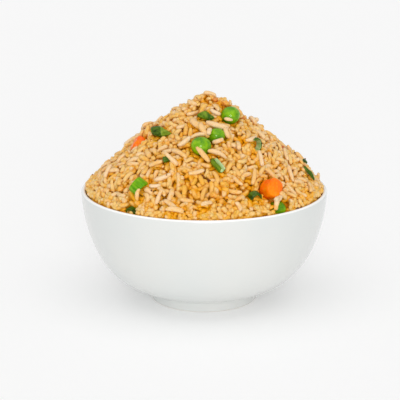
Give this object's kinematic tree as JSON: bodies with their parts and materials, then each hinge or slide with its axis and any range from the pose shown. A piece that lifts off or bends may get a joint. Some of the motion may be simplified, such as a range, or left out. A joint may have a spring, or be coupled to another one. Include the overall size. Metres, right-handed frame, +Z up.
{
  "type": "bowl of egg fried rice",
  "caption": "Round footed porcelain bowl heaped into a peak with egg fried rice, dotted with green peas, diced carrot and cut spring onion.",
  "frame": {"origin": "centre of the foot ring's resting face", "axes": "+Z up out of the bowl through the heap's peak; the side with the most toppings faces -Y"},
  "size_m": [0.115, 0.115, 0.0985],
  "materials": {
    "porcelain": "smooth glossy white glaze",
    "fried_rice": "moist oiled rice grains, satin",
    "pea": "smooth moist skin",
    "carrot": "moist cut faces",
    "spring_onion": "waxy green outside, paler inside"
  },
  "bodies": {
    "root": {"bowl": "porcelain", "rice_heap": "fried_rice", "pea_1": "pea", "pea_2": "pea", "pea_3": "pea", "pea_4": "pea", "pea_5": "pea", "pea_6": "pea", "pea_7": "pea", "pea_8": "pea", "carrot_1": "carrot", "carrot_2": "carrot", "carrot_3": "carrot", "carrot_4": "carrot", "carrot_5": "carrot", "onion_1": "spring_onion", "onion_2": "spring_onion", "onion_3": "spring_onion", "onion_4": "spring_onion", "onion_5": "spring_onion", "onion_6": "spring_onion", "onion_7": "spring_onion", "onion_8": "spring_onion", "onion_9": "spring_onion", "onion_10": "spring_onion", "onion_11": "spring_onion", "onion_12": "spring_onion", "onion_13": "spring_onion", "onion_14": "spring_onion", "onion_15": "spring_onion", "onion_16": "spring_onion", "onion_17": "spring_onion"}
  },
  "joints": []
}
